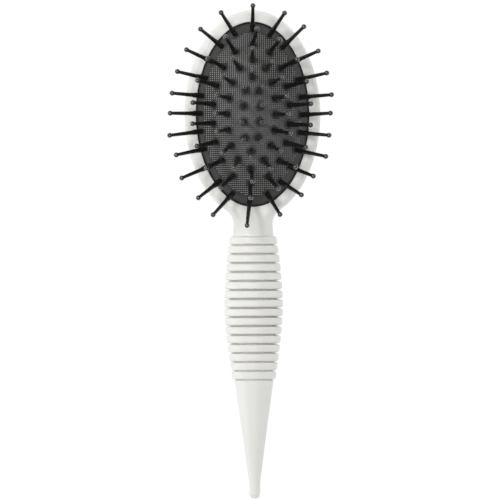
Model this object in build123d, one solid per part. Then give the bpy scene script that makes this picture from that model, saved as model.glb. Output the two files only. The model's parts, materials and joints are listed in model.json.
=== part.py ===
"""An oval air-cushion hairbrush, lying on its back with the pins pointing up.

+X is across the brush, +Y runs along it from the tail to the head, and +Z is the way
the pins point.  The origin is under the middle of the whole brush, on the surface that
it lies on.  All sizes are in millimetres.
"""
from build123d import *
import os
from math import copysign, cos, hypot, pi, radians, sin, sqrt

# ---- driving dimensions ---------------------------------------------------------------
# head
HEAD_A, HEAD_B = 33.2, 51.0          # half width and half length of the oval head
WINDOW_A, WINDOW_B = 27.7, 45.3      # half width and half length of the oval window
RIM_TOP = 21.0                       # height of the rim's front
BACK_EDGE = 11.0                     # radius of the edge round the head's back
RIM_EDGE = 2.6                       # radius of the rim's outer front edge
LIP = 3.0                            # thickness of the lip that holds the pad down
FLOOR = 3.5                          # thickness of the air chamber's floor

# handle, measured down from the middle of the head
HANDLE_AXIS_Z = 14.4                 # the handle's axis, and the plane the shells part on
NECK_HALF_WIDTH = 9.6                # at the neck's narrowest place
NECK_HALF_HEIGHT = 7.9
NECK_AT = 53.9                       # where the neck is narrowest
NECK_END_HALF_WIDTH, NECK_END_HALF_HEIGHT = 10.1, 9.3
FLARE_R = 9.0                        # the hollow curve between neck and head
GRIP_FROM = 59.5                     # where the first rib starts
RIB_PITCH = 4.41
RIB_COUNT = 16
RIB_FOOT, RIB_CROWN = 3.8, 2.2       # a rib's width at its foot and at its crown
RIB_EDGE = 0.7                       # rounding of a rib's shoulders
RIB_SUNK = 0.2                       # how far a rib's foot reaches into the barrel
GRIP_R_NECK, GRIP_R_MAX, GRIP_R_TAIL = 11.3, 14.4, 10.4
FULLEST = 0.505                      # where along the ribs the grip is fullest, as a share
GROOVE_SHALLOW, GROOVE_DEEP = 1.0, 2.2
TAIL_R, TAIL_END_R = 9.6, 2.7
TAIL_TAPER_TO = 180.5                # where the tail stops tapering
BRUSH_TO = 188.2                     # the end of the tail
TAIL_ROUND = 2.3
WALL = 2.2                           # wall of the hollow handle
HOLLOW_TO = 163.0
PEGS_AT = (67.0, 95.0, 123.0)        # locating pegs between the two shells
BOSS_R, PEG_R, PEG_LENGTH, PEG_GAP = 3.0, 1.5, 4.0, 0.05

# rubber pad
DOME_HEIGHT = 16.0
PAD_THICKNESS = 1.6
PAD_GAP = 0.3                        # pad to window
BEAD_THICKNESS = 1.8
BEAD_WIDTH = 3.0                     # how far the bead reaches out under the lip
BEAD_GAP = 0.2

# pins
PIN_EXPOSED = 19.5                   # from the pad's face to the middle of the ball
BALL_R = 1.3
SHAFT_R_LOW, SHAFT_R_HIGH = 1.0, 0.7
COLLAR_R, COLLAR_FROM, COLLAR_TO, COLLAR_SLOPE = 1.35, 0.4, 6.0, 0.8
WAIST_R = 0.8
FOOT_R, FOOT_THICKNESS, FOOT_GAP = 2.0, 0.8, 0.5
PIN_CLEARANCE = 0.05                 # waist to pad

# Each ring: how many pins, the half width and half length of the oval that they stand on,
# how far they lean outwards at the sides and at the ends, and the powers that shape the
# change from one to the other.
RINGS = {
    "outer": {"count": 24, "a": 24.2, "b": 40.9, "lean": (15.5, 11.9), "power": (0.7, 1.5), "paired": True},
    "second": {"count": 18, "a": 18.3, "b": 33.6, "lean": (10.8, 7.2), "power": (1.0, 1.3), "paired": True},
    "third": {"count": 16, "a": 11.4, "b": 26.1, "lean": (6.1, 5.6), "power": (1.0, 1.3), "paired": False},
    "inner": {"count": 10, "a": 3.8, "b": 17.7, "lean": (1.4, 3.3), "power": (1.0, 1.3), "paired": False},
}
PATTERN_SHIFT = -0.7                 # the pad sits this far off the middle, across the head
PATTERN_TURN = 1.2                   # and is turned clockwise by this many degrees
LEAN_TURN = 0.5
# The rubber lets each pin rock.  The tips of these stand this far across and along from
# where their ring's rule puts them.
ASKEW = {
    "outer": {2: (-0.4, 1.7), 6: (-1.2, 0.8), 7: (-1.0, -0.2), 9: (-1.6, 1.0), 10: (-0.6, 1.9),
              11: (-1.0, 0.4), 12: (-1.6, -1.6), 13: (-2.7, 0), 15: (-1.5, -0.5), 17: (-0.9, -1.0)},
    "second": {0: (2.0, 0.4), 7: (0, 1.1), 10: (-1.5, 0.2), 17: (0, 1.0)},
    "third": {1: (0.3, -1.4), 5: (2.2, -0.6), 8: (0.7, -1.1), 9: (1.1, 0.2), 10: (0.1, -1.2)},
    "inner": {1: (1.2, 0.1), 4: (1.1, -0.3), 8: (-0.5, 1.8)},
}

# ---- worked out from those ------------------------------------------------------------
TOP_REACH = RINGS["outer"]["b"] + RINGS["outer"]["lean"][1] + BALL_R
HEAD_Y = (BRUSH_TO - TOP_REACH) / 2          # puts the origin under the brush's middle
DOME_FROM = RIM_TOP - LIP
DOME_A, DOME_B = WINDOW_A - PAD_GAP, WINDOW_B - PAD_GAP
BEAD_A, BEAD_B = WINDOW_A + BEAD_WIDTH - BEAD_GAP, WINDOW_B + BEAD_WIDTH - BEAD_GAP
BEAD_FROM = DOME_FROM - BEAD_THICKNESS
GRIP_TO = GRIP_FROM + RIB_COUNT * RIB_PITCH


def down(distance):
    """The Y of a place that far below the middle of the head."""
    return HEAD_Y - distance


def oval(a, b, low, high):
    """An upright oval block round the head's middle."""
    return Pos(0, HEAD_Y, low) * extrude(Ellipse(a, b), amount=high - low)


def turned(face):
    """A face drawn as (radius, Y), turned about the handle's axis."""
    return Pos(0, 0, HANDLE_AXIS_Z) * revolve(face, Axis.Y, 360)


# ---- the handle's outside -------------------------------------------------------------
def fullness(place):
    """0 at either end of the grip and 1 where it is fullest."""
    share = (place - GRIP_FROM) / (GRIP_TO - GRIP_FROM)
    if share < FULLEST:
        return 1 - ((FULLEST - share) / FULLEST) ** 1.8
    return 1 - ((share - FULLEST) / (1 - FULLEST)) ** 1.4


def crown_radius(place):
    """The grip's radius over its ribs."""
    share = (place - GRIP_FROM) / (GRIP_TO - GRIP_FROM)
    end = GRIP_R_NECK if share < FULLEST else GRIP_R_TAIL
    return end + (GRIP_R_MAX - end) * fullness(place)


def groove_radius(place):
    """The grip's radius in its grooves."""
    return crown_radius(place) - GROOVE_SHALLOW - (GROOVE_DEEP - GROOVE_SHALLOW) * fullness(place)


def grip():
    """The barrel under the ribs, and sixteen ribs round it."""
    places = [GRIP_FROM + RIB_PITCH * n for n in range(RIB_COUNT + 1)]
    barrel = [(0, down(places[0]))]
    barrel += [(groove_radius(p), down(p)) for p in places]
    barrel += [(0, down(places[-1]))]
    solid = turned(make_face(Polyline(barrel, close=True)))
    for n in range(RIB_COUNT):
        middle = GRIP_FROM + RIB_PITCH * (n + 0.5)
        foot_radius = groove_radius(middle) - RIB_SUNK
        outline = Polyline(
            (0, down(middle - RIB_FOOT / 2)),
            (foot_radius, down(middle - RIB_FOOT / 2)),
            (crown_radius(middle), down(middle - RIB_CROWN / 2)),
            (crown_radius(middle), down(middle + RIB_CROWN / 2)),
            (foot_radius, down(middle + RIB_FOOT / 2)),
            (0, down(middle + RIB_FOOT / 2)),
            close=True,
        )
        rib = make_face(outline)
        solid += turned(fillet(rib.vertices().group_by(Axis.X)[-1], RIB_EDGE))
    return solid


def tail():
    """The smooth cone behind the ribs, with its small round end."""
    outline = Polyline(
        (0, down(GRIP_TO - RIB_PITCH / 2)),
        (TAIL_R, down(GRIP_TO - RIB_PITCH / 2)),
        (TAIL_R, down(GRIP_TO)),
        (TAIL_END_R, down(TAIL_TAPER_TO)),
        (TAIL_END_R, down(BRUSH_TO)),
        (0, down(BRUSH_TO)),
        close=True,
    )
    face = make_face(outline)
    corner = face.vertices().sort_by(Axis.Y)[:2].sort_by(Axis.X)[-1]
    return turned(fillet(corner, TAIL_ROUND))


def neck():
    """The short oval neck, flaring into the head."""
    sections = [(GRIP_FROM + RIB_PITCH, NECK_END_HALF_WIDTH, NECK_END_HALF_HEIGHT)]
    for step in (0.0, 0.35, 0.7, 0.9):
        flare = FLARE_R * (1 - sqrt(1 - step * step))
        half_height = NECK_HALF_HEIGHT + (RIM_TOP - HANDLE_AXIS_Z - NECK_HALF_HEIGHT) * step
        sections.append((NECK_AT - FLARE_R * step, NECK_HALF_WIDTH + flare, half_height))
    rings = [
        Plane(origin=(0, down(place), HANDLE_AXIS_Z), x_dir=(1, 0, 0), z_dir=(0, -1, 0))
        * Ellipse(half_width, half_height)
        for place, half_width, half_height in sections
    ]
    return loft(rings)


def head():
    """The oval head as one block, with its edges rounded."""
    block = oval(HEAD_A, HEAD_B, 0, RIM_TOP)
    back_edge = block.edges().group_by(Axis.Z)[0]
    block = fillet(back_edge, BACK_EDGE)
    front_edge = block.edges().group_by(Axis.Z)[-1]
    return fillet(front_edge, RIM_EDGE)


# ---- what is taken out of the inside ----------------------------------------------------
def handle_hollow():
    """The space inside the handle, with bosses left standing round the pegs."""
    outline = Polyline(
        (0, down(GRIP_FROM + RIB_PITCH)),
        (groove_radius(GRIP_FROM + RIB_PITCH) - WALL, down(GRIP_FROM + RIB_PITCH)),
        (groove_radius(GRIP_FROM + 6 * RIB_PITCH) - WALL, down(GRIP_FROM + 6 * RIB_PITCH)),
        (groove_radius(GRIP_TO - 5 * RIB_PITCH) - WALL, down(GRIP_TO - 5 * RIB_PITCH)),
        (groove_radius(GRIP_TO) - WALL, down(GRIP_TO)),
        (TAIL_END_R, down(HOLLOW_TO)),
        (0, down(HOLLOW_TO)),
        close=True,
    )
    hollow = turned(make_face(outline))
    for place in PEGS_AT:
        hollow -= Pos(0, down(place), HANDLE_AXIS_Z) * Cylinder(BOSS_R, 4 * GRIP_R_MAX)
    return hollow


def head_hollow():
    """The air chamber, the room for the bead and its ring, and the window."""
    return (
        oval(WINDOW_A - 0.7, WINDOW_B - 0.7, FLOOR, HANDLE_AXIS_Z)
        + oval(WINDOW_A + BEAD_WIDTH, WINDOW_B + BEAD_WIDTH, HANDLE_AXIS_Z, DOME_FROM)
        + oval(WINDOW_A, WINDOW_B, DOME_FROM, 2 * RIM_TOP)
    )


def shells():
    """The front and back halves of the moulded body."""
    body = head() + neck() + grip() + tail() - handle_hollow() - head_hollow()
    size = 2 * BRUSH_TO
    front_side = Pos(0, 0, HANDLE_AXIS_Z + size / 2) * Box(size, size, size)
    front, back = body & front_side, body - front_side
    for place in PEGS_AT:
        spot = Pos(0, down(place), HANDLE_AXIS_Z)
        front += spot * Pos(0, 0, 1 - PEG_LENGTH) * Cylinder(
            PEG_R, PEG_LENGTH + 1, align=(Align.CENTER, Align.CENTER, Align.MIN))
        back -= spot * Pos(0, 0, -PEG_LENGTH) * Cylinder(
            PEG_R + PEG_GAP, PEG_LENGTH, align=(Align.CENTER, Align.CENTER, Align.MIN))
    return front, back


# ---- pad and ring -----------------------------------------------------------------------
def dome(a, b, height):
    """Half an ellipsoid that stands on the plane where the dome starts."""
    ball = scale(Rot(0, 0, 7) * Sphere(1), by=(a, b, height))
    upper = Pos(0, 0, height) * Box(4 * a, 4 * b, 2 * height)
    return Pos(0, HEAD_Y, DOME_FROM) * (ball & upper)


def pad(stations):
    """The domed rubber diaphragm, with its bead and a hole for each pin."""
    inner_a, inner_b = DOME_A - PAD_THICKNESS, DOME_B - PAD_THICKNESS
    solid = dome(DOME_A, DOME_B, DOME_HEIGHT) + oval(BEAD_A, BEAD_B, BEAD_FROM, DOME_FROM)
    solid -= dome(inner_a, inner_b, DOME_HEIGHT - PAD_THICKNESS)
    solid -= oval(inner_a, inner_b, BEAD_FROM, DOME_FROM)
    hole = Cylinder(WAIST_R + PIN_CLEARANCE, 4 * PAD_THICKNESS)
    return solid - [station.location * hole for station in stations]


def clamp_ring():
    """The flat oval hoop that holds the bead up against the lip."""
    outside = oval(BEAD_A, BEAD_B, HANDLE_AXIS_Z, BEAD_FROM)
    inside = oval(WINDOW_A - 0.7, WINDOW_B - 0.7, HANDLE_AXIS_Z, BEAD_FROM)
    return outside - inside


# ---- pins -------------------------------------------------------------------------------
def pin():
    """One pin along +Z, with the pad's face at 0: foot, waist, collar, shaft and ball."""
    foot_top = -PAD_THICKNESS - FOOT_GAP
    outline = Polyline(
        (0, foot_top - FOOT_THICKNESS),
        (FOOT_R, foot_top - FOOT_THICKNESS),
        (FOOT_R, foot_top),
        (WAIST_R, foot_top),
        (WAIST_R, COLLAR_FROM),
        (COLLAR_R, COLLAR_FROM),
        (COLLAR_R, COLLAR_TO),
        (SHAFT_R_LOW, COLLAR_TO + COLLAR_SLOPE),
        (SHAFT_R_HIGH, PIN_EXPOSED),
        (0, PIN_EXPOSED),
        close=True,
    )
    shaft = revolve(Plane.XZ * make_face(outline), Axis.Z, 360)
    return shaft + Pos(0, 0, PIN_EXPOSED) * Sphere(BALL_R)


def spaced_round(a, b, count):
    """Angles that set out count points at equal steps along an oval, from its top on."""
    steps = 3600
    lengths = [0.0]
    for n in range(steps):
        angle = 2 * pi * (n + 0.5) / steps
        lengths.append(lengths[-1] + hypot(a * cos(angle), b * sin(angle)))
    angles = []
    n = 0
    for k in range(count):
        wanted = lengths[-1] * k / count
        while lengths[n + 1] < wanted:
            n += 1
        share = (wanted - lengths[n]) / (lengths[n + 1] - lengths[n])
        angles.append(2 * pi * (n + share) / steps)
    return angles


def clockwise(degrees, x, y):
    """A place turned clockwise about the middle, seen from the front."""
    turn = radians(degrees)
    return x * cos(turn) + y * sin(turn), y * cos(turn) - x * sin(turn)


def stations_of(name):
    """A plane for each pin of a ring, on the pad's face and square to the pin."""
    ring = RINGS[name]
    stations = []
    for n, angle in enumerate(spaced_round(ring["a"], ring["b"], ring["count"])):
        across, along = sin(angle), cos(angle)
        x, y = clockwise(PATTERN_TURN, ring["a"] * across, ring["b"] * along)
        x += PATTERN_SHIFT
        z = DOME_FROM + DOME_HEIGHT * sqrt(1 - (x / DOME_A) ** 2 - (y / DOME_B) ** 2)
        lean_x, lean_y = clockwise(
            LEAN_TURN,
            ring["lean"][0] * copysign(abs(across) ** ring["power"][0], across),
            ring["lean"][1] * copysign(abs(along) ** ring["power"][1], along),
        )
        askew_x, askew_y = ASKEW[name].get(n, (0, 0))
        lean_x, lean_y = lean_x + askew_x, lean_y + askew_y
        rise = sqrt(PIN_EXPOSED ** 2 - lean_x ** 2 - lean_y ** 2)
        stations.append(Plane(origin=(x, HEAD_Y + y, z), z_dir=(lean_x, lean_y, rise)))
    return stations


def pin_nodes(name):
    """The ring's pins as named nodes: one each, or each pin with the one opposite it."""
    ring = RINGS[name]
    blank = pin()
    placed = [station.location * blank for station in stations_of(name)]
    if not ring["paired"]:
        return {f"{name}_pin_{n + 1:02d}": solid for n, solid in enumerate(placed)}
    half = ring["count"] // 2
    nodes = {}
    for n in range(half + 1):
        pair = [placed[n]] if n in (0, half) else [placed[n], placed[-n]]
        nodes[f"{name}_pins_{n + 1:02d}"] = Compound(pair)
    return nodes


# ---- the whole brush ----------------------------------------------------------------------
front_shell, back_shell = shells()
nodes = {"front_shell": front_shell, "back_shell": back_shell}
nodes["cushion_pad"] = pad([s for name in RINGS for s in stations_of(name)])
nodes["clamp_ring"] = clamp_ring()
for ring_name in RINGS:
    nodes.update(pin_nodes(ring_name))

os.makedirs("parts", exist_ok=True)
for node_name, shape in nodes.items():
    export_step(shape, f"parts/{node_name}.step")
print(len(nodes), "nodes written")
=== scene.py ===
# %% [markdown]
# # An oval air-cushion hairbrush
# The brush lies on its back with its pins pointing up, +Z. It has a white moulded body,
# a domed black rubber pad and 68 ball-tipped pins. The CAD frame holds the sizes and the
# motion: the pins sink with the pad when it is pressed. Here each visible piece gets its
# final shape and finish, and rides on the CAD body that carries it.

# %% Load the frame
import bpy, bmesh
import json
import numpy as np
from math import acos, atan2, cos, exp, pi, radians, sin, sqrt, tau
from mathutils import Matrix, Vector


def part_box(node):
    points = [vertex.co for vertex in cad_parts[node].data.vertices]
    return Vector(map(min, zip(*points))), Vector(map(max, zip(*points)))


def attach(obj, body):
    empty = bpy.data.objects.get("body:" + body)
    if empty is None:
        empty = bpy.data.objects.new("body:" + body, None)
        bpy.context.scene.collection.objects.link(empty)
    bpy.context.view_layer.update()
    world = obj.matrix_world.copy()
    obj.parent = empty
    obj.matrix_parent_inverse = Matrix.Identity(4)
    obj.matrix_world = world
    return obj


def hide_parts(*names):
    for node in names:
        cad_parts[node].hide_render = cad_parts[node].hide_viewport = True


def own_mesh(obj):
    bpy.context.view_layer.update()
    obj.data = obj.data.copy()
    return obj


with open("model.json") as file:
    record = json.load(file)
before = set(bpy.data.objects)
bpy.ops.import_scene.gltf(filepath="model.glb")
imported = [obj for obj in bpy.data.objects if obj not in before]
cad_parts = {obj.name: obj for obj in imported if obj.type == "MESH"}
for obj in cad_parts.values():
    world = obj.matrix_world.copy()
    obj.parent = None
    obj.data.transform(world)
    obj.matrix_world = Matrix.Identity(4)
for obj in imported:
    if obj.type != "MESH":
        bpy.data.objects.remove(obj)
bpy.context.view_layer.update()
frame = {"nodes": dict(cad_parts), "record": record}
BODIES = frame["record"]["behaviour"]["bodies"]
MM = 0.001

# %% [markdown]
# ## Sizes
# Blender works in metres, but a maker thinks in millimetres, so every size below is in
# millimetres and is turned to metres only where a mesh is made. What the frame knows is
# read from it: the middle of the head, the pad's height and the brush's far end.

# %% Sizes read from the frame
pad_low, pad_high = [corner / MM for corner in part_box("cushion_pad")]
shell_low, shell_high = [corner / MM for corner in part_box("front_shell")]
HEAD_Y = (pad_low.y + pad_high.y) / 2
HEAD_A, HEAD_B = shell_high.x, shell_high.y - HEAD_Y
PAD_TOP = pad_high.z
BRUSH_TO = HEAD_Y - shell_low.y
print("head", round(2 * HEAD_A, 1), "x", round(2 * HEAD_B, 1), "mm")
print("tail ends", round(BRUSH_TO, 1), "mm from the head's middle")

# %% Sizes of the body
PARTING = 14.4                       # the plane where the two shells meet, and the handle's axis
LIP_BELOW = 18.0                     # the underside of the lip that holds the pad down
WINDOW_A, WINDOW_B = 27.7, 45.3      # half width and half length of the oval window
CHAMBER_A, CHAMBER_B = 27.0, 44.6    # half width and half length of the air chamber
FLOOR = 3.5                          # height of the air chamber's floor
RIM_EDGE, WINDOW_EDGE = 3.0, 0.3     # radii of the rim's outer and inner edges
BACK_EDGE = 11.0                     # radius of the edge round the head's back
BEAD_REACH = 3.0                     # the pocket for the pad's bead runs this far under the lip
NECK_R, NECK_WIDENS = 9.6, 0.45      # half the neck's width at its narrowest, and its growth
NECK_HIGH, NECK_RISES = 7.9, 1.4     # half the neck's height there, and its growth
FLARE_R = 9.0                        # the hollow curve between neck and head
NECK_FULL = 56.5                     # from here down, a section is all neck
NECK_TO = 60.4                       # the neck ends inside the first rib
SEAM = 0.15                          # depth of the fine line between the shells

# %% [markdown]
# ## Colours, nodes and meshes
# Three small helpers are used all through the script. Colours are written as sRGB hex,
# the way a paint chart gives them, and a shader needs them linear. `add` makes any node,
# sets its options and joins its inputs. `piece` turns lists of points and faces into a
# clean closed object at the origin.

# %% Colour helper
def linear(hex_colour):
    """An sRGB hex colour as the linear RGBA that a shader takes."""
    channels = [int(hex_colour[n:n + 2], 16) / 255 for n in (1, 3, 5)]
    return [c / 12.92 if c <= 0.04045 else ((c + 0.055) / 1.055) ** 2.4 for c in channels] + [1.0]

# %% Node helper
def add(tree, kind, inputs=(), **settings):
    """A new node. inputs maps a socket's name or number to a value or to the socket that feeds it."""
    made = tree.nodes.new(kind)
    for key, value in settings.items():
        setattr(made, key, value)
    for key, value in dict(inputs).items():
        if isinstance(value, bpy.types.NodeSocket):
            tree.links.new(value, made.inputs[key])
        else:
            made.inputs[key].default_value = value
    return made

# %% Mesh helper
def piece(name, points, faces, material, smooth_below=35, merge=0.004):
    """A closed object from points in mm: doubles merged, holes filled, normals outwards."""
    mesh = bmesh.new()
    corners = [mesh.verts.new(Vector(p) * MM) for p in points]
    for face in faces:
        ring = [corners[n] for n in dict.fromkeys(face)]
        if len(ring) > 2:
            mesh.faces.new(ring)
    bmesh.ops.remove_doubles(mesh, verts=mesh.verts, dist=merge * MM)
    bmesh.ops.dissolve_degenerate(mesh, edges=mesh.edges, dist=0.0005 * MM)
    bmesh.ops.holes_fill(mesh, edges=[e for e in mesh.edges if e.is_boundary], sides=0)
    bmesh.ops.recalc_face_normals(mesh, faces=mesh.faces)
    data = bpy.data.meshes.new(name)
    mesh.to_mesh(data)
    open_edges = sum(1 for e in mesh.edges if not e.is_manifold)
    mesh.free()
    data.shade_smooth()
    data.set_sharp_from_angle(angle=radians(smooth_below))
    data.materials.append(material)
    made = bpy.data.objects.new(name, data)
    bpy.context.scene.collection.objects.link(made)
    print(name, len(data.polygons), "faces,", open_edges, "open edges")
    return made

# %% Rows of points to faces
def rows_to_faces(rows, columns, first=0):
    """Four-sided faces between neighbouring rows of a grid of points."""
    return [
        (first + r * columns + c, first + r * columns + c + 1,
         first + (r + 1) * columns + c + 1, first + (r + 1) * columns + c)
        for r in range(rows - 1) for c in range(columns - 1)
    ]

# %% [markdown]
# ## White ABS
# The body is injection-moulded ABS. Such a mould is spark-eroded to a fine satin, so the
# plastic has a soft, broad highlight and a grain that is only seen close to. The white is
# slightly warm and varies a little where the melt flowed. Three noises do this: a slow
# one for the colour, a middling one for the gloss and a fine one for the grain. Real
# grain is a few hundredths of a millimetre, and is drawn about ten times coarser to show.

# %% Satin ABS
def satin_white_abs():
    """Moulded ABS: warm white, satin, with a spark-eroded grain and faint handling marks."""
    material = bpy.data.materials.new("satin_white_abs")
    material.use_nodes = True
    tree = material.node_tree
    shader = tree.nodes["Principled BSDF"]
    place = add(tree, "ShaderNodeTexCoord").outputs["Object"]
    flow_mm, grain_mm, rub_mm = 30, 0.3, 4
    flow = add(tree, "ShaderNodeTexNoise", {"Vector": place, "Scale": 1 / (flow_mm * MM), "Detail": 2.0})
    tone = add(tree, "ShaderNodeMix", {
        "Factor": flow.outputs["Fac"], 6: linear("#eeeeeb"), 7: linear("#e9e8e3")}, data_type="RGBA")
    tree.links.new(tone.outputs[2], shader.inputs["Base Color"])
    rub = add(tree, "ShaderNodeTexNoise", {"Vector": place, "Scale": 1 / (rub_mm * MM), "Detail": 6.0})
    gloss = add(tree, "ShaderNodeMapRange", {
        "Value": rub.outputs["Fac"], "From Min": 0.3, "From Max": 0.7, "To Min": 0.36, "To Max": 0.46})
    tree.links.new(gloss.outputs["Result"], shader.inputs["Roughness"])
    grain = add(tree, "ShaderNodeTexNoise", {"Vector": place, "Scale": 1 / (grain_mm * MM), "Detail": 3.0})
    bump = add(tree, "ShaderNodeBump", {
        "Height": grain.outputs["Fac"], "Strength": 0.25, "Distance": 0.02 * MM})
    tree.links.new(bump.outputs["Normal"], shader.inputs["Normal"])
    shader.inputs["IOR"].default_value = 1.54
    return material


ABS = satin_white_abs()
print("made", ABS.name)

# %% [markdown]
# ## The outline of head and neck
# Seen from above, the body is an oval that runs through a hollow curve into the neck. The
# hollow curve is an arc that touches both: its centre lies its own radius away from the
# oval, and also its own radius away from the neck's side. One bisection finds it. The
# outline is then three stretches: oval, arc, neck.

# %% Where the hollow curve touches the oval
def arc_centre(angle):
    """The centre of the arc that touches the oval at this angle from its lower end."""
    x, y = HEAD_A * sin(angle), -HEAD_B * cos(angle)
    out = Vector((HEAD_B * sin(angle), -HEAD_A * cos(angle))).normalized()
    return Vector((x, y)) + out * FLARE_R


low, high = 0.0, pi / 2
for step in range(40):
    middle = (low + high) / 2
    if arc_centre(middle).x < NECK_R + FLARE_R:
        low = middle
    else:
        high = middle
TOUCH = low
FLARE = arc_centre(TOUCH)
print("hollow curve meets the oval at", round(-HEAD_B * cos(TOUCH), 1), "mm")
print("neck is narrowest at", round(FLARE.y, 1), "mm")

# %% The outline, with the line that each point faces inside it
def oval_point(a, b, angle):
    """A point on an oval, by its angle from the oval's upper end."""
    return Vector((a * sin(angle), b * cos(angle)))


def outline(inner_a, inner_b, oval_steps=110, arc_steps=22, neck_steps=14):
    """Pairs of points down the right side: one on the outline, and the one it faces inside."""
    pairs = []
    for n in range(oval_steps):
        angle = (pi - TOUCH) * n / oval_steps
        pairs.append((oval_point(HEAD_A, HEAD_B, angle), oval_point(inner_a, inner_b, angle)))
    touch = oval_point(HEAD_A, HEAD_B, pi - TOUCH) - FLARE
    start = atan2(touch.y, touch.x)
    for n in range(arc_steps):
        share = n / arc_steps
        turn = start + (pi - start) * share
        outer = FLARE + Vector((cos(turn), sin(turn))) * FLARE_R
        pairs.append((outer, oval_point(inner_a, inner_b, pi - TOUCH * (1 - share))))
    for n in range(neck_steps + 1):
        share = n / neck_steps
        y = FLARE.y + (-NECK_TO - FLARE.y) * share
        x = NECK_R + NECK_WIDENS * share * share
        pairs.append((Vector((x, y)), Vector((0, -inner_b + (inner_b - NECK_TO) * share))))
    return pairs, oval_steps, oval_steps + arc_steps


print("outline points down one side:", len(outline(WINDOW_A, WINDOW_B)[0]))

# %% [markdown]
# ## The two shells of head and neck
# The body is two shells that meet on one plane. Each shell is built from sections that
# run from the outline inwards. On the head a section is a wall, a rounded edge and a flat
# rim. On the neck it is a quarter of an oval. In between, one turns smoothly into the
# other, which gives the soft shoulders that a moulded neck has. Subdividing a rough cage
# would also work, but then the rim would not stay a true oval.

# %% How neck-like a place is
def smooth_step(value, start, end):
    """0 before start, 1 after end, and an even S between."""
    share = min(max((value - start) / (end - start), 0), 1)
    return share * share * (3 - 2 * share)


def half_width(y):
    """Half the body's width at that place."""
    if y > -HEAD_B * cos(TOUCH):
        return HEAD_A * sqrt(max(0, 1 - (y / HEAD_B) ** 2))
    if y > FLARE.y:
        return FLARE.x - sqrt(FLARE_R ** 2 - (y - FLARE.y) ** 2)
    return NECK_R + NECK_WIDENS * ((FLARE.y - y) / (FLARE.y + NECK_TO)) ** 2


def neck_rise(x, y):
    """How far the neck's surface stands off the parting plane there."""
    half_height = NECK_HIGH + NECK_RISES * smooth_step(-y, -FLARE.y, NECK_TO)
    return half_height * sqrt(max(0, 1 - (x / max(half_width(y), 0.01)) ** 2))


print("neck half width", round(half_width(FLARE.y), 2), "mm")

# %% A section from the outline inwards
def head_section(width, wall, edge, inner_edge, level):
    """(distance from the outline, height off the parting plane): wall, rounded edge, flat, inner edge."""
    points = [(SEAM, 0.0), (0.0, SEAM), (0.0, wall * 0.35), (0.0, wall * 0.7)]
    for n in range(8):
        turn = pi / 2 * n / 7
        points.append((edge * (1 - cos(turn)), wall + edge * sin(turn)))
    flat_to = width - inner_edge
    for n in range(1, 5):
        points.append((edge + (flat_to - edge) * n / 4, level))
    for n in range(1, 4):
        turn = pi / 2 * n / 3
        points.append((flat_to + inner_edge * sin(turn), level - inner_edge * (1 - cos(turn))))
    return points


def skin(inner_a, inner_b, side, wall, edge, inner_edge, blend_from):
    """Rows of points over the right half of one shell: side is 1 for the front, -1 for the back."""
    pairs, arc_from, neck_from = outline(inner_a, inner_b)
    rows = []
    for n, (outer, inner) in enumerate(pairs):
        width = (inner - outer).length
        section = head_section(width, wall, edge, inner_edge, wall + edge)
        neckness = smooth_step(n, arc_from - 6, neck_from)
        row = []
        for k, (distance, rise) in enumerate(section):
            turn = pi / 2 * k / (len(section) - 1)
            share = (1 - neckness) * distance / width + neckness * (1 - cos(turn))
            spot = outer.lerp(inner, share)
            mix = smooth_step(-spot.y, blend_from, NECK_FULL)
            height = (1 - mix) * rise + mix * neck_rise(spot.x, spot.y)
            if k == 0:
                height = 0.0         # each section starts on the parting plane
            row.append((spot.x, HEAD_Y + spot.y, PARTING + side * height))
        rows.append(row)
    return rows, neck_from


print("section points:", len(head_section(5.6, 3.6, RIM_EDGE, WINDOW_EDGE, 6.6)))

# %% Both sides of a half
def both_sides(points, faces):
    """The points and faces together with their mirror image across the brush."""
    count = len(points)
    mirrored = [(-x, y, z) for x, y, z in points]
    return points + mirrored, faces + [tuple(count + n for n in reversed(face)) for face in faces]

# %% Front shell of head and neck
LIP_FROM, POCKET_TO = 45.6, 52.0     # below the window, the lip and then the pocket run out


def front_head():
    """Rim, lip, window and the front half of the neck, as points and faces in mm."""
    wall = LIP_BELOW - PARTING
    rows, neck_from = skin(WINDOW_A, WINDOW_B, 1, wall, RIM_EDGE, WINDOW_EDGE, LIP_FROM)
    columns = len(rows[0])
    points = [p for row in rows for p in row]
    faces = rows_to_faces(len(rows), columns)
    under_first = len(points)
    pairs = outline(WINDOW_A, WINDOW_B)[0]
    for row, (outer, inner) in zip(rows, pairs):
        points.append(row[0])
        pocket = 1 - BEAD_REACH / (inner - outer).length
        for share, rise in ((pocket, 0.0), (pocket, wall), (1.0, wall)):
            spot = outer.lerp(inner, share)
            height = rise * (1 - smooth_step(-spot.y, LIP_FROM, POCKET_TO))
            points.append((spot.x, HEAD_Y + spot.y, PARTING + height))
    faces += [tuple(reversed(face)) for face in rows_to_faces(len(rows), 4, under_first)]
    for n in range(neck_from):
        top, below = n * columns + columns - 1, under_first + n * 4 + 3
        faces.append((top, top + columns, below + 4, below))
    return both_sides(points, faces)


head_points, head_faces = front_head()
print("front head:", len(head_points), "points")

# %% Back shell of head and neck
BACK_INSET = 12.0                    # the sections stop this far in, and a flat closes the back
BACK_FROM = 40.5                     # from here down, the back turns into the neck


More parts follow.
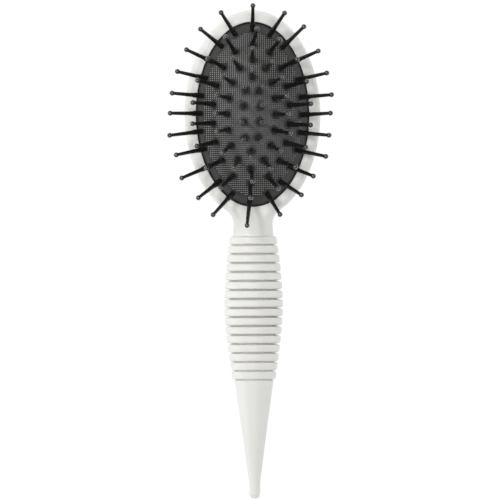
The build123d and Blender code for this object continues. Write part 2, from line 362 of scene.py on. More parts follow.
def back_head():
    """The head's back with its air chamber, and the back half of the neck."""
    wall = PARTING - BACK_EDGE
    inner_a, inner_b = HEAD_A - BACK_INSET, HEAD_B - BACK_INSET
    rows, neck_from = skin(inner_a, inner_b, -1, wall, BACK_EDGE, 0.01, BACK_FROM)
    columns = len(rows[0])
    points = [p for row in rows for p in row]
    faces = rows_to_faces(len(rows), columns)
    top_first = len(points)
    for row, (outer, inner) in zip(rows, outline(CHAMBER_A, CHAMBER_B)[0]):
        points += [row[0], (inner.x, HEAD_Y + inner.y, PARTING)]
    faces += rows_to_faces(len(rows), 2, top_first)
    wall_first = len(points)
    for n in range(neck_from + 1):
        x, y, z = points[top_first + 2 * n + 1]
        points += [(x, y, z), (x, y, FLOOR)]
    faces += rows_to_faces(neck_from + 1, 2, wall_first)
    return both_sides(points, faces)


back_points, back_faces = back_head()
print("back head:", len(back_points), "points")

# %% [markdown]
# ## A lathe made of nodes
# The grip, the tail and every pin are turned shapes: a radius that changes along an axis.
# Geometry Nodes can make all of them with one tree. Each shape starts as a line of points
# that carry a radius. The tree sweeps a circle, or half a circle for a shell that stops
# at the parting plane, along each line and scales it by that radius. A Screw modifier
# could turn the grip, but not 68 pins that all point different ways.

# %% The lathe's tree
def lathe_tree():
    """Lines with a radius on each point become closed turned solids."""
    tree = bpy.data.node_groups.new("lathe", "GeometryNodeTree")
    socket = tree.interface.new_socket
    socket("Lines", in_out="INPUT", socket_type="NodeSocketGeometry")
    socket("Sides", in_out="INPUT", socket_type="NodeSocketInt").default_value = 16
    socket("Sweep", in_out="INPUT", socket_type="NodeSocketFloat").default_value = tau
    socket("Start", in_out="INPUT", socket_type="NodeSocketFloat")
    socket("Round", in_out="INPUT", socket_type="NodeSocketBool").default_value = True
    socket("Sharp above", in_out="INPUT", socket_type="NodeSocketFloat").default_value = radians(40)
    socket("Finish", in_out="INPUT", socket_type="NodeSocketMaterial")
    socket("Tip finish", in_out="INPUT", socket_type="NodeSocketMaterial")
    socket("Solid", in_out="OUTPUT", socket_type="NodeSocketGeometry")
    given = add(tree, "NodeGroupInput").outputs
    radius = add(tree, "GeometryNodeInputNamedAttribute", {"Name": "turned_radius"}, data_type="FLOAT")
    lines = add(tree, "GeometryNodeMeshToCurve", {"Mesh": given["Lines"]})
    upright = add(tree, "GeometryNodeSetCurveNormal", {"Curve": lines.outputs["Curve"]}, mode="Z_UP")
    full = add(tree, "GeometryNodeCurvePrimitiveCircle", {"Resolution": given["Sides"], "Radius": 1.0})
    half = add(tree, "GeometryNodeCurveArc", {
        "Resolution": given["Sides"], "Radius": 1.0, "Start Angle": given["Start"],
        "Sweep Angle": given["Sweep"]})
    closed = add(tree, "GeometryNodeSetSplineCyclic", {"Geometry": half.outputs["Curve"], "Cyclic": True})
    section = add(tree, "GeometryNodeSwitch", {
        "Switch": given["Round"], "False": closed.outputs["Geometry"], "True": full.outputs["Curve"]},
        input_type="GEOMETRY")
    swept = add(tree, "GeometryNodeCurveToMesh", {
        "Curve": upright.outputs["Curve"], "Profile Curve": section.outputs["Output"],
        "Scale": radius.outputs["Attribute"], "Fill Caps": True})
    smooth = add(tree, "GeometryNodeSetShadeSmooth", {"Geometry": swept.outputs["Mesh"]}, domain="FACE")
    angle = add(tree, "GeometryNodeInputMeshEdgeAngle")
    sharp = add(tree, "FunctionNodeCompare", {
        "A": angle.outputs["Unsigned Angle"], "B": given["Sharp above"]}, operation="GREATER_THAN")
    creased = add(tree, "GeometryNodeSetShadeSmooth", {
        "Geometry": smooth.outputs["Geometry"], "Selection": sharp.outputs["Result"],
        "Shade Smooth": False}, domain="EDGE")
    real = add(tree, "GeometryNodeRealizeInstances", {"Geometry": creased.outputs["Geometry"]})
    finished = add(tree, "GeometryNodeSetMaterial", {
        "Geometry": real.outputs["Geometry"], "Material": given["Finish"]})
    tip = add(tree, "GeometryNodeInputNamedAttribute", {"Name": "tip"}, data_type="BOOLEAN")
    tipped = add(tree, "GeometryNodeSetMaterial", {
        "Geometry": finished.outputs["Geometry"], "Selection": tip.outputs["Attribute"],
        "Material": given["Tip finish"]})
    add(tree, "NodeGroupOutput", {"Solid": tipped.outputs["Geometry"]})
    return tree


LATHE = lathe_tree()
print("lathe tree:", len(LATHE.nodes), "nodes")

# %% Lines with a radius on each point
def turned_lines(name, lines, tip_from=9999, **inputs):
    """A plain mesh turned from lines of (point, radius) in mm, tipped from point tip_from on."""
    data = bpy.data.meshes.new(name)
    points = [point for line in lines for point, radius in line]
    edges, first = [], 0
    for line in lines:
        edges += [(first + n, first + n + 1) for n in range(len(line) - 1)]
        first += len(line)
    data.from_pydata([Vector(p) * MM for p in points], edges, [])
    radii = data.attributes.new("turned_radius", "FLOAT", "POINT")
    radii.data.foreach_set("value", [radius * MM for line in lines for point, radius in line])
    tips = data.attributes.new("tip", "BOOLEAN", "POINT")
    tips.data.foreach_set("value", [n >= tip_from for line in lines for n in range(len(line))])
    blank = bpy.data.objects.new(name + "_blank", data)
    bpy.context.scene.collection.objects.link(blank)
    lathe = blank.modifiers.new("lathe", "NODES")
    lathe.node_group = LATHE
    sockets = {item.name: item.identifier for item in LATHE.interface.items_tree if item.in_out == "INPUT"}
    for key, value in inputs.items():
        lathe[sockets[key.replace("_", " ")]] = value
    return plain_mesh(name, blank)


def plain_mesh(name, blank):
    """The evaluated result of an object's modifiers as a new plain object. The blank goes away."""
    result = blank.evaluated_get(bpy.context.evaluated_depsgraph_get())
    data = bpy.data.meshes.new_from_object(result)
    data.name = name
    made = bpy.data.objects.new(name, data)
    bpy.context.scene.collection.objects.link(made)
    bpy.data.objects.remove(blank)
    print(name, len(data.vertices), "points,", len(data.polygons), "faces")
    return made

# %% [markdown]
# ## The grip and the tail
# Sixteen ribs run round a barrel that is fullest in its middle. Across each rib the
# radius follows one bell with a flattened top: it stays near the crown for most of the
# pitch, then drops steeply into a narrow groove with a crease at its bottom. The grooves
# are deepest where the barrel is fullest. Behind the last rib the tail tapers in a nearly
# straight line to a small round end.

# %% Sizes of the grip
GRIP_FROM, RIB_PITCH, RIB_COUNT = 59.5, 4.41, 16
GRIP_R_NECK, GRIP_R_MAX, GRIP_R_TAIL = 11.3, 14.4, 10.4
FULLEST = 0.505                      # where along the grip it is fullest, as a share
GROOVE_SHALLOW, GROOVE_DEEP = 1.0, 2.2
BELL_WIDTH, BELL_POWER = 0.425, 11   # half the crown's share of the pitch, and its squareness
GRIP_TO = GRIP_FROM + RIB_COUNT * RIB_PITCH
TAIL_R, TAIL_END_R, TAIL_TAPER_TO, TAIL_ROUND = 9.6, 2.7, 180.5, 2.3
TAIL_GAP, TAIL_SAG = 0.25, 0.12      # behind the last rib, and how far the taper dips inwards
CREASE, CREASE_WIDTH = 0.9, 0.04     # a sharp line at the bottom of each groove
RIB_STEPS = 36                       # points along one rib

# %% The grip's radius at any place
def fullness(place):
    """0 at either end of the grip and 1 where it is fullest."""
    share = (place - GRIP_FROM) / (GRIP_TO - GRIP_FROM)
    if share < FULLEST:
        return 1 - ((FULLEST - share) / FULLEST) ** 1.8
    return 1 - ((share - FULLEST) / (1 - FULLEST)) ** 1.4


def crown_radius(place):
    """The barrel's radius over its ribs."""
    share = (place - GRIP_FROM) / (GRIP_TO - GRIP_FROM)
    end = GRIP_R_NECK if share < FULLEST else GRIP_R_TAIL
    return end + (GRIP_R_MAX - end) * fullness(place)


def rib_radius(place):
    """The radius of the ribbed surface: crown, flank or groove."""
    across = ((place - GRIP_FROM) / RIB_PITCH) % 1 - 0.5
    bell = exp(-(abs(across) / BELL_WIDTH) ** BELL_POWER)
    crease = CREASE * exp(-((0.5 - abs(across)) / CREASE_WIDTH) ** 2)
    depth = GROOVE_SHALLOW + (GROOVE_DEEP - GROOVE_SHALLOW) * fullness(place)
    return crown_radius(place) - depth * (1 - bell) - crease


def handle_line():
    """Points down the handle's axis, each with its radius."""
    profile = [(GRIP_FROM, 0.01)]
    for n in range(RIB_COUNT * RIB_STEPS + 1):
        place = min(GRIP_FROM + RIB_PITCH * n / RIB_STEPS, GRIP_TO - 1e-6)
        profile.append((place, rib_radius(place)))
    tail_from = GRIP_TO + TAIL_GAP
    for n in range(25):
        share = n / 24
        sag = TAIL_SAG * sin(pi * share)
        radius = TAIL_R + (TAIL_END_R - TAIL_R) * share - sag
        profile.append((tail_from + (TAIL_TAPER_TO - tail_from) * share, radius))
    for n in range(13):
        turn = pi / 2 * n / 12
        radius = TAIL_END_R - TAIL_ROUND * (1 - cos(turn))
        profile.append((BRUSH_TO - TAIL_ROUND * (1 - sin(turn)), radius))
    profile.append((BRUSH_TO, 0.01))
    return [((0, HEAD_Y - place, PARTING), radius) for place, radius in profile]


line = handle_line()
print("handle line:", len(line), "points, fullest radius", round(max(r for p, r in line), 2))

# %% Two halves of the handle
HANDLE_SIDES = 72                    # corners round half of the handle
SEAM_ANGLE = 0.006                   # each half stops this far short of the parting plane


def half_handle(name, start):
    """The front or back half of grip and tail."""
    return turned_lines(
        name, [line], Sides=HANDLE_SIDES, Round=False, Start=start + SEAM_ANGLE,
        Sweep=pi - 2 * SEAM_ANGLE, Sharp_above=radians(50), Finish=ABS)


front_handle = half_handle("front_handle", 0.0)
back_handle = half_handle("back_handle", pi)
print("front half reaches up to", round(max(v.co.z for v in front_handle.data.vertices) / MM, 2), "mm")

# %% One object for each shell
def joined(name, first, second):
    """Two meshes as one object, each still closed by itself."""
    mesh = bmesh.new()
    mesh.from_mesh(first.data)
    mesh.from_mesh(second.data)
    data = bpy.data.meshes.new(name)
    mesh.to_mesh(data)
    mesh.free()
    data.materials.append(ABS)
    for part in (first, second):
        bpy.data.objects.remove(part)
    made = bpy.data.objects.new(name, data)
    bpy.context.scene.collection.objects.link(made)
    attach(made, "handle")
    return made


front = joined("moulded_front_shell", piece("front_head", head_points, head_faces, ABS), front_handle)
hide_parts("front_shell")
back = joined("moulded_back_shell", piece("back_head", back_points, back_faces, ABS), back_handle)
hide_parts("back_shell")
print("shells:", front.name, back.name)

# %% [markdown]
# ## The pins
# Each pin is one nylon moulding: a flat foot behind the rubber, a waist that the rubber
# grips, a thick collar, a thin tapering shaft and a ball. Where a pin stands and where it
# points is read from its CAD solid: the middle of the ball at one end and the middle of
# the foot at the other. The lathe's tree turns every pin of a ring at once, and each
# ring rides on its own body, because the rings sink by different amounts. The balls get a
# second finish, because they are dipped in enamel so that they glide over the scalp.

# %% Glossy nylon
def glossy_black_nylon():
    """Moulded nylon 66: near black, polished by the mould, with faint flow streaks."""
    material = bpy.data.materials.new("glossy_black_nylon")
    material.use_nodes = True
    tree = material.node_tree
    shader = tree.nodes["Principled BSDF"]
    place = add(tree, "ShaderNodeTexCoord").outputs["Object"]
    streak_mm, wear_and_sheen_mm = 6, 1.2
    streak = add(tree, "ShaderNodeTexNoise", {
        "Vector": place, "Scale": 1 / (streak_mm * MM), "Detail": 3.0})
    tone = add(tree, "ShaderNodeMix", {
        "Factor": streak.outputs["Fac"], 6: linear("#060606"), 7: linear("#0c0c0b")}, data_type="RGBA")
    tree.links.new(tone.outputs[2], shader.inputs["Base Color"])
    wear_and_sheen = add(tree, "ShaderNodeTexNoise", {"Vector": place, "Scale": 1 / (wear_and_sheen_mm * MM), "Detail": 4.0})
    gloss = add(tree, "ShaderNodeMapRange", {
        "Value": wear_and_sheen.outputs["Fac"], "From Min": 0.3, "From Max": 0.7, "To Min": 0.2, "To Max": 0.32})
    tree.links.new(gloss.outputs["Result"], shader.inputs["Roughness"])
    shader.inputs["IOR"].default_value = 1.6
    return material


def enamelled_tip():
    """The balls: dipped in black enamel, which dries glass-smooth under a clear skin."""
    material = bpy.data.materials.new("enamelled_tip")
    material.use_nodes = True
    shader = material.node_tree.nodes["Principled BSDF"]
    shader.inputs["Base Color"].default_value = linear("#070707")
    shader.inputs["Roughness"].default_value = 0.08
    shader.inputs["IOR"].default_value = 1.6
    shader.inputs["Coat Weight"].default_value = 1.0
    shader.inputs["Coat Roughness"].default_value = 0.04
    shader.inputs["Coat IOR"].default_value = 1.6
    return material


NYLON, ENAMEL = glossy_black_nylon(), enamelled_tip()
print("made", NYLON.name, "and", ENAMEL.name)

# %% A pin's profile
BALL_AT, BALL_R = 19.5, 1.3          # from the pad's face to the ball's middle
FOOT_TO, FOOT_FROM, FOOT_R, WAIST_R = -2.9, -2.1, 2.0, 0.8
COLLAR_R, COLLAR_TO, SHAFT_LOW, SHAFT_HIGH = 1.35, 6.0, 1.02, 0.82
BALL_STEPS = 9                       # points of the profile that round the ball


def pin_profile():
    """(distance along the pin, radius), from the foot to the ball."""
    profile = [(FOOT_TO, 0.01), (FOOT_TO, FOOT_R), (FOOT_FROM, FOOT_R), (FOOT_FROM, WAIST_R)]
    profile += [(0.25, WAIST_R), (0.3, COLLAR_R - 0.15), (0.45, COLLAR_R)]
    profile += [(COLLAR_TO - 1.2, COLLAR_R - 0.06), (COLLAR_TO - 0.5, COLLAR_R - 0.14)]
    profile += [(COLLAR_TO + 0.1, SHAFT_LOW + 0.16), (COLLAR_TO + 0.7, SHAFT_LOW)]
    joins_at = acos(SHAFT_HIGH / BALL_R)
    profile.append((BALL_AT - BALL_R * sin(joins_at) - 0.15, SHAFT_HIGH))
    for n in range(BALL_STEPS):
        turn = -joins_at + (pi / 2 + joins_at) * n / (BALL_STEPS - 1)
        profile.append((BALL_AT + BALL_R * sin(turn), max(BALL_R * cos(turn), 0.01)))
    return profile


PIN = pin_profile()
print("pin profile:", len(PIN), "points")

# %% Where each pin stands
FOOT_SLICE, BALL_SLICE = 0.6, 1.2    # how much of each end is looked at
CAD_BALL_R = 1.3
PAIR_OFF = 3.0                       # the pins of a pair stand at least this far off the middle


def middle_of(points, axis):
    """The middle of a round end: halfway between its extremes on three square axes."""
    across = axis.orthogonal().normalized()
    axes = np.array([axis, across, axis.cross(across)])
    spread = points @ axes.T
    return Vector(((spread.min(0) + spread.max(0)) / 2) @ axes)


def stand_of(points):
    """(place on the pad's face, direction) of one pin, from the corners of its CAD solid."""
    centred = points - points.mean(0)
    axis = Vector(np.linalg.svd(centred, full_matrices=False)[2][0])
    axis = axis if axis.z > 0 else -axis
    for turn in range(3):
        along = points @ np.array(axis)
        foot = middle_of(points[along < along.min() + FOOT_SLICE], axis)
        ball = middle_of(points[along > along.max() - BALL_SLICE], axis)
        axis = (ball - foot).normalized()
    top = (points @ np.array(axis)).max() - CAD_BALL_R
    ball += axis * (top - ball.dot(axis))
    return ball - axis * BALL_AT, axis


def stands_of(node):
    """The stands of the one or two pins in a CAD node."""
    corners = np.array([v.co for v in frame["nodes"][node].data.vertices]) / MM
    across = corners[:, 0]
    if across.min() > -PAIR_OFF or across.max() < PAIR_OFF:
        return [stand_of(corners)]
    sides = [corners[across > 0], corners[across < 0]]
    return [stand_of(side) for side in sides]


RINGS = [body for body in BODIES if body.endswith("_ring")]
STANDS = {body: [stand for node in BODIES[body] for stand in stands_of(node)] for body in RINGS}
print("pins found:", {body: len(found) for body, found in STANDS.items()})

# %% Turn the pins ring by ring
PIN_SIDES = 16
for body, found in STANDS.items():
    lines = [[(place + axis * along, radius) for along, radius in PIN] for place, axis in found]
    pins = turned_lines(
        body.replace("ring", "pins"), lines, tip_from=len(PIN) - BALL_STEPS,
        Sides=PIN_SIDES, Finish=NYLON, Tip_finish=ENAMEL)
    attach(pins, body)
    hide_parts(*BODIES[body])

# %% [markdown]
# ## The rubber pad
# The pad is a thin dome of natural rubber, moulded with a thick bead that the shells
# clamp. It stands off the head like half an egg, so each row of its mesh is an oval that
# shrinks towards the top. The rubber swells a little round each pin, where the waist
# stretches its hole. Those swellings are pushed out along the surface in code, which
# keeps them real shapes in the mesh.

# %% Black rubber
def black_natural_rubber():
    """Moulded natural rubber: charcoal, matt, with a bloom of wax that greys it in patches."""
    material = bpy.data.materials.new("black_natural_rubber")
    material.use_nodes = True
    tree = material.node_tree
    shader = tree.nodes["Principled BSDF"]
    place = add(tree, "ShaderNodeTexCoord").outputs["Object"]
    bloom_mm, grain_mm = 14, 0.35
    bloom = add(tree, "ShaderNodeTexNoise", {"Vector": place, "Scale": 1 / (bloom_mm * MM), "Detail": 5.0})
    tone = add(tree, "ShaderNodeMix", {
        "Factor": bloom.outputs["Fac"], 6: linear("#222221"), 7: linear("#2d2d2c")}, data_type="RGBA")
    tree.links.new(tone.outputs[2], shader.inputs["Base Color"])
    gloss = add(tree, "ShaderNodeMapRange", {
        "Value": bloom.outputs["Fac"], "From Min": 0.3, "From Max": 0.7, "To Min": 0.5, "To Max": 0.62})
    tree.links.new(gloss.outputs["Result"], shader.inputs["Roughness"])
    grain = add(tree, "ShaderNodeTexNoise", {"Vector": place, "Scale": 1 / (grain_mm * MM), "Detail": 3.0})
    bump = add(tree, "ShaderNodeBump", {
        "Height": grain.outputs["Fac"], "Strength": 0.3, "Distance": 0.03 * MM})
    tree.links.new(bump.outputs["Normal"], shader.inputs["Normal"])
    shader.inputs["IOR"].default_value = 1.52
    return material


def dot_rubber_painted_highlight():
    """The dots: the same rubber, made smoother, and painted light grey as a painted highlight for the light
    each dot catches.
    """
    material = bpy.data.materials.new("dot_rubber_painted_highlight")
    material.use_nodes = True
    tree = material.node_tree
    shader = tree.nodes["Principled BSDF"]
    place = add(tree, "ShaderNodeTexCoord").outputs["Object"]
    wear_and_sheen_mm = 9
    # The light greys below are a painted highlight, standing in for the light the dots catch, not the
    # rubber's own charcoal. A slow noise varies that grey across the pad.
    wear_and_sheen = add(tree, "ShaderNodeTexNoise", {"Vector": place, "Scale": 1 / (wear_and_sheen_mm * MM), "Detail": 3.0})
    tone = add(tree, "ShaderNodeMix", {
        "Factor": wear_and_sheen.outputs["Fac"], 6: linear("#acacaa"), 7: linear("#c8c8c6")}, data_type="RGBA")
    tree.links.new(tone.outputs[2], shader.inputs["Base Color"])
    shader.inputs["Roughness"].default_value = 0.38
    shader.inputs["IOR"].default_value = 1.52
    return material


RUBBER, DOT_RUBBER_PAINTED_HIGHLIGHT = black_natural_rubber(), dot_rubber_painted_highlight()
print("made", RUBBER.name, "and", DOT_RUBBER_PAINTED_HIGHLIGHT.name)

# %% Sizes of the pad
PAD_GAP = 0.12                       # the fine dark line between pad and window
DOME_A, DOME_B = WINDOW_A - PAD_GAP, WINDOW_B - PAD_GAP
DOME_H = PAD_TOP - LIP_BELOW
PAD_THICK, BEAD_BELOW = 1.6, pad_low.z
BEAD_A, BEAD_B = pad_high.x, pad_high.y - HEAD_Y
SWELL_R, SWELL_HIGH = 2.3, 0.45      # the swelling round each pin
PIN_PLACES = np.array([place for found in STANDS.values() for place, axis in found])
print("dome", round(DOME_H, 1), "mm high over", len(PIN_PLACES), "pins")

# %% The dome with its swellings
def dome_rows(a, b, height, rows, around, swell):
    """Rows of points over half an egg, from its top to its edge."""
    turn = np.linspace(0, tau, around, endpoint=False)
    made = []
    for fall in np.linspace(0, pi / 2, rows):
        ring = np.stack([a * sin(fall) * np.sin(turn), b * sin(fall) * np.cos(turn),
                         np.full(around, height * cos(fall))], axis=1)
        normal = ring / np.array([a * a, b * b, height * height])
        normal /= np.linalg.norm(normal, axis=1, keepdims=True)
        ring += np.array([0, HEAD_Y, LIP_BELOW])
        away = np.linalg.norm(ring[:, None] - PIN_PLACES[None], axis=2).min(1)
        ring += normal * (swell * np.exp(-(away / SWELL_R) ** 4))[:, None]
        made.append(ring)
    return made


def oval_row(a, b, z, around):
    """One oval row of points."""
    turn = np.linspace(0, tau, around, endpoint=False)
    return np.stack([a * np.sin(turn), HEAD_Y + b * np.cos(turn), np.full(around, z)], axis=1)


def pad_mesh(around=300):
    """The dome, its bead under the lip and its hollow inside, as one closed skin."""
    rows = dome_rows(DOME_A, DOME_B, DOME_H, 120, around, SWELL_HIGH)
    for reach, z in ((1.0, LIP_BELOW - 0.05), (0.85, BEAD_BELOW + 0.25), (0.7, BEAD_BELOW)):
        inside = (1 - reach) * 0.5
        rows.append(oval_row(BEAD_A - inside, BEAD_B - inside, z, around))
    rows.append(oval_row(DOME_A - PAD_THICK, DOME_B - PAD_THICK, BEAD_BELOW, around))
    rows += dome_rows(DOME_A - PAD_THICK, DOME_B - PAD_THICK, DOME_H - PAD_THICK, 24, around, 0.0)[::-1]
    points = np.concatenate(rows)
    faces = []
    for r in range(len(rows) - 1):
        for c in range(around):
            d = (c + 1) % around
            faces.append((r * around + c, r * around + d, (r + 1) * around + d, (r + 1) * around + c))
    return [tuple(p) for p in points], faces


pad = piece("rubber_cushion_pad", *pad_mesh(), RUBBER)
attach(pad, "handle")
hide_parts("cushion_pad")

# %% [markdown]
# ## The raised dots on the rubber
# A fine grid of dots covers the dome, about one to a millimetre each way. They are real
# bumps here. A bump map would be lighter, but dots catch the light at the dome's steep
# sides, and the mesh keeps them as shapes. The tree lays a flat grid, lifts it onto the
# dome, leaves the pins' swellings free, and stands a low cone on each point.
#
# Their tops are the same rubber, made smoother, and painted light grey: a painted highlight for the light
# each dot catches.

# %% The dots' tree
def dots_tree():
    """A grid of low cones on half an egg, clear of the points it is given."""
    tree = bpy.data.node_groups.new("raised_dots", "GeometryNodeTree")
    socket = tree.interface.new_socket
    socket("Keep clear of", in_out="INPUT", socket_type="NodeSocketGeometry")
    sizes = ("Half width", "Half length", "Height", "Pitch", "Dot radius", "Dot height", "Clear", "Edge")
    for name in sizes:
        socket(name, in_out="INPUT", socket_type="NodeSocketFloat")
    socket("Middle", in_out="INPUT", socket_type="NodeSocketVector")
    socket("Finish", in_out="INPUT", socket_type="NodeSocketMaterial")
    socket("Dots", in_out="OUTPUT", socket_type="NodeSocketGeometry")
    given = add(tree, "NodeGroupInput").outputs

    def maths(operation, *values):
        return add(tree, "ShaderNodeMath", enumerate(values), operation=operation).outputs[0]

    def vector(operation, *values):
        return add(tree, "ShaderNodeVectorMath", enumerate(values), operation=operation).outputs[0]

    size_x = maths("MULTIPLY", maths("ROUND", maths("DIVIDE", given["Half width"], given["Pitch"])), 2.0)
    size_y = maths("MULTIPLY", maths("ROUND", maths("DIVIDE", given["Half length"], given["Pitch"])), 2.0)
    grid = add(tree, "GeometryNodeMeshGrid", {
        "Size X": maths("MULTIPLY", size_x, given["Pitch"]),
        "Size Y": maths("MULTIPLY", size_y, given["Pitch"]),
        "Vertices X": maths("ADD", size_x, 1.0), "Vertices Y": maths("ADD", size_y, 1.0)})
    place = add(tree, "GeometryNodeInputPosition").outputs[0]
    apart = add(tree, "ShaderNodeSeparateXYZ", {"Vector": place}).outputs
    part_x = maths("DIVIDE", apart[0], given["Half width"])
    part_y = maths("DIVIDE", apart[1], given["Half length"])
    reach = maths("ADD", maths("MULTIPLY", part_x, part_x), maths("MULTIPLY", part_y, part_y))
    left_over = maths("MAXIMUM", maths("SUBTRACT", 1.0, reach), 0.0)
    rise = maths("MULTIPLY", given["Height"], maths("SQRT", left_over))
    inside = add(tree, "GeometryNodeDeleteGeometry", {
        "Geometry": grid.outputs["Mesh"],
        "Selection": maths("GREATER_THAN", reach, maths("MULTIPLY", given["Edge"], given["Edge"]))})
    lifted = add(tree, "ShaderNodeCombineXYZ", {"X": apart[0], "Y": apart[1], "Z": rise}).outputs[0]
    steep = add(tree, "ShaderNodeCombineXYZ", {
        "X": maths("DIVIDE", part_x, given["Half width"]),
        "Y": maths("DIVIDE", part_y, given["Half length"]),
        "Z": maths("DIVIDE", maths("DIVIDE", rise, given["Height"]), given["Height"])}).outputs[0]
    kept = add(tree, "GeometryNodeStoreNamedAttribute", {
        "Geometry": inside.outputs["Geometry"], "Name": "outwards", "Value": vector("NORMALIZE", steep)},
        data_type="FLOAT_VECTOR")
    moved = add(tree, "GeometryNodeSetPosition", {
        "Geometry": kept.outputs["Geometry"], "Position": vector("ADD", lifted, given["Middle"])})
    near = add(tree, "GeometryNodeProximity", {"Geometry": given["Keep clear of"]}, target_element="POINTS")
    free = add(tree, "GeometryNodeDeleteGeometry", {
        "Geometry": moved.outputs["Geometry"],
        "Selection": maths("LESS_THAN", near.outputs["Distance"], given["Clear"])})
    outwards = add(tree, "GeometryNodeInputNamedAttribute", {"Name": "outwards"}, data_type="FLOAT_VECTOR")
    upright = add(tree, "FunctionNodeAlignRotationToVector", {
        "Vector": outwards.outputs["Attribute"]}, axis="Z")
    dot = add(tree, "GeometryNodeMeshCone", {
        "Vertices": 8, "Radius Top": maths("MULTIPLY", given["Dot radius"], 0.45),
        "Radius Bottom": given["Dot radius"], "Depth": maths("MULTIPLY", given["Dot height"], 2.0)})
    sunk = add(tree, "GeometryNodeTransform", {
        "Geometry": dot.outputs["Mesh"],
        "Translation": add(tree, "ShaderNodeCombineXYZ", {
            "Z": maths("MULTIPLY", given["Dot height"], -1.0)}).outputs[0]})
    spread = add(tree, "GeometryNodeInstanceOnPoints", {
        "Points": free.outputs["Geometry"], "Instance": sunk.outputs["Geometry"],
        "Rotation": upright.outputs["Rotation"]})
    real = add(tree, "GeometryNodeRealizeInstances", {"Geometry": spread.outputs["Instances"]})
    smooth = add(tree, "GeometryNodeSetShadeSmooth", {"Geometry": real.outputs["Geometry"]}, domain="FACE")
    finished = add(tree, "GeometryNodeSetMaterial", {
        "Geometry": smooth.outputs["Geometry"], "Material": given["Finish"]})
    add(tree, "NodeGroupOutput", {"Dots": finished.outputs["Geometry"]})
    return tree


DOTS = dots_tree()
print("dots tree:", len(DOTS.nodes), "nodes")

# %% Lay the dots on the dome
def raised_dots():
    """The grid of dots over the pad, as a plain mesh."""
    data = bpy.data.meshes.new("dots")
    data.from_pydata([Vector(place) * MM for place in PIN_PLACES], [], [])
    blank = bpy.data.objects.new("dots_blank", data)
    bpy.context.scene.collection.objects.link(blank)
    modifier = blank.modifiers.new("dots", "NODES")
    modifier.node_group = DOTS
    sockets = {item.name: item.identifier for item in DOTS.interface.items_tree if item.in_out == "INPUT"}
    sizes = {"Half width": DOME_A, "Half length": DOME_B, "Height": DOME_H, "Pitch": 0.98,
             "Dot radius": 0.34, "Dot height": 0.2, "Clear": 1.9}
    for name, size in sizes.items():
        modifier[sockets[name]] = size * MM
    modifier[sockets["Edge"]] = 0.88
    modifier[sockets["Middle"]] = (0.0, HEAD_Y * MM, LIP_BELOW * MM)
    # The dots take the light grey of the painted highlight.
    modifier[sockets["Finish"]] = DOT_RUBBER_PAINTED_HIGHLIGHT
    return plain_mesh("rubber_dots", blank)


dots = raised_dots()
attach(dots, "handle")

# %% [markdown]
# ## How the pad gives
# Pressing the brush lets the air out of the chamber and flattens the dome. The frame's
# joint says how far the middle pins travel. Here the pad and its dots are only given
# meshes of their own; nothing in this script flattens them.

# %% Give the pad and its dots their own meshes
for soft in (pad, dots):
    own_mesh(soft)

# %% [markdown]
# ## The hidden ring
# The ring that clamps the pad's bead is a plain oval hoop, and the CAD shape is right as
# it is. It only needs its finish: unpainted grey polypropylene.

# %% Grey polypropylene
def grey_polypropylene():
    """Moulded polypropylene in natural grey: waxy, with a soft highlight."""
    material = bpy.data.materials.new("grey_polypropylene")
    material.use_nodes = True
    tree = material.node_tree
    shader = tree.nodes["Principled BSDF"]
    place = add(tree, "ShaderNodeTexCoord").outputs["Object"]
    flow_mm = 12
    flow = add(tree, "ShaderNodeTexNoise", {"Vector": place, "Scale": 1 / (flow_mm * MM), "Detail": 3.0})
    tone = add(tree, "ShaderNodeMix", {
        "Factor": flow.outputs["Fac"], 6: linear("#7d7d7a"), 7: linear("#888885")}, data_type="RGBA")
    tree.links.new(tone.outputs[2], shader.inputs["Base Color"])
    shader.inputs["Roughness"].default_value = 0.48
    shader.inputs["IOR"].default_value = 1.49
    return material


ring = frame["nodes"]["clamp_ring"]
ring.data.materials.clear()
ring.data.materials.append(grey_polypropylene())
print("ring finished")

# %% [markdown]
# ## Floor, light and camera
# The brush is shown from straight above on an opal sheet lit from below, which swallows
# its shadow. A softbox above and to the left gives the pins' shadows and the bright point
# on each ball, and a larger one overhead evens out the rim. The surround is dim above and
# bright near the horizon, where the balls mirror it as a pale ring. The camera stands far
# off with a long lens, so that the pins show their true lean and little perspective.

# %% Floor
def lit_floor():
    """An opal sheet that glows white and shows no shadow, as a light table does."""
    material = bpy.data.materials.new("lit_opal_acrylic")
    material.use_nodes = True
    tree = material.node_tree
    shader = tree.nodes["Principled BSDF"]
    shader.inputs["Base Color"].default_value = linear("#202020")
    shader.inputs["Roughness"].default_value = 0.9
    shader.inputs["Specular IOR Level"].default_value = 0.0
    shader.inputs["Emission Color"].default_value = linear("#ffffff")
    shader.inputs["Emission Strength"].default_value = 1.0
    half = 3.0
    data = bpy.data.meshes.new("floor")
    corners = [(-half, -half, 0), (half, -half, 0), (half, half, 0), (-half, half, 0)]
    data.from_pydata(corners, [], [(0, 1, 2, 3)])
    data.materials.append(material)
    floor = bpy.data.objects.new("floor", data)
    bpy.context.scene.collection.objects.link(floor)


lit_floor()
print("floor laid")

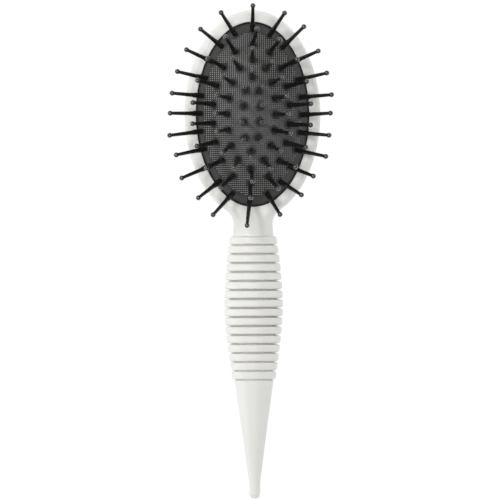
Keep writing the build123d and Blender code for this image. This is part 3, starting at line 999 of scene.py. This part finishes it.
# %% Lights
def softbox(name, direction, distance, size, power):
    """A square area light that faces the brush from that direction."""
    lamp = bpy.data.lights.new(name, "AREA")
    lamp.size, lamp.energy = size, power
    light = bpy.data.objects.new(name, lamp)
    toward = Vector(direction).normalized()
    light.location = Vector((0, 0.02, 0.02)) + toward * distance
    light.rotation_euler = toward.to_track_quat("Z", "Y").to_euler()
    bpy.context.scene.collection.objects.link(light)


softbox("key", (-0.6, 0.42, 1.0), distance=1.3, size=0.32, power=6.0)
softbox("overhead", (0.0, -0.05, 1.0), distance=1.6, size=0.9, power=11.0)
print("softboxes set")

# %% Surround
world = bpy.data.worlds.new("surround")
world.use_nodes = True
world.node_tree.nodes["Background"].inputs["Color"].default_value = linear("#ffffff")
direction = add(world.node_tree, "ShaderNodeTexCoord").outputs["Generated"]
height = add(world.node_tree, "ShaderNodeSeparateXYZ", {"Vector": direction}).outputs["Z"]
glow = add(world.node_tree, "ShaderNodeMapRange", {
    "Value": height, "From Min": 0.0, "From Max": 0.4, "To Min": 2.0, "To Max": 0.15},
    interpolation_type="SMOOTHSTEP")
world.node_tree.links.new(glow.outputs["Result"], world.node_tree.nodes["Background"].inputs["Strength"])
bpy.context.scene.world = world
bpy.context.scene.view_settings.view_transform = "Standard"
print("surround set")

# %% Camera
def overhead_camera(view_mm, aim_mm, lean_x, lean_y, roll, distance=6.0):
    """A long-lens camera above the brush. The leans tilt it off the vertical, in degrees."""
    data = bpy.data.cameras.new("camera")
    data.sensor_width = 36.0
    data.lens = data.sensor_width * distance / (view_mm * MM)
    camera = bpy.data.objects.new("camera", data)
    back = Vector((sin(radians(lean_x)), sin(radians(lean_y)), 1.0)).normalized()
    up = Vector((sin(radians(roll)), cos(radians(roll)), 0))
    right = up.cross(back).normalized()
    turn = Matrix((right, back.cross(right), back)).transposed()
    camera.matrix_world = Matrix.Translation(Vector(aim_mm) * MM + back * distance) @ turn.to_4x4()
    bpy.context.scene.collection.objects.link(camera)
    bpy.context.scene.camera = camera


overhead_camera(view_mm=245.0, aim_mm=(-1.6, 0.64, PARTING), lean_x=-0.65, lean_y=0.05, roll=0.35)
print("camera set")
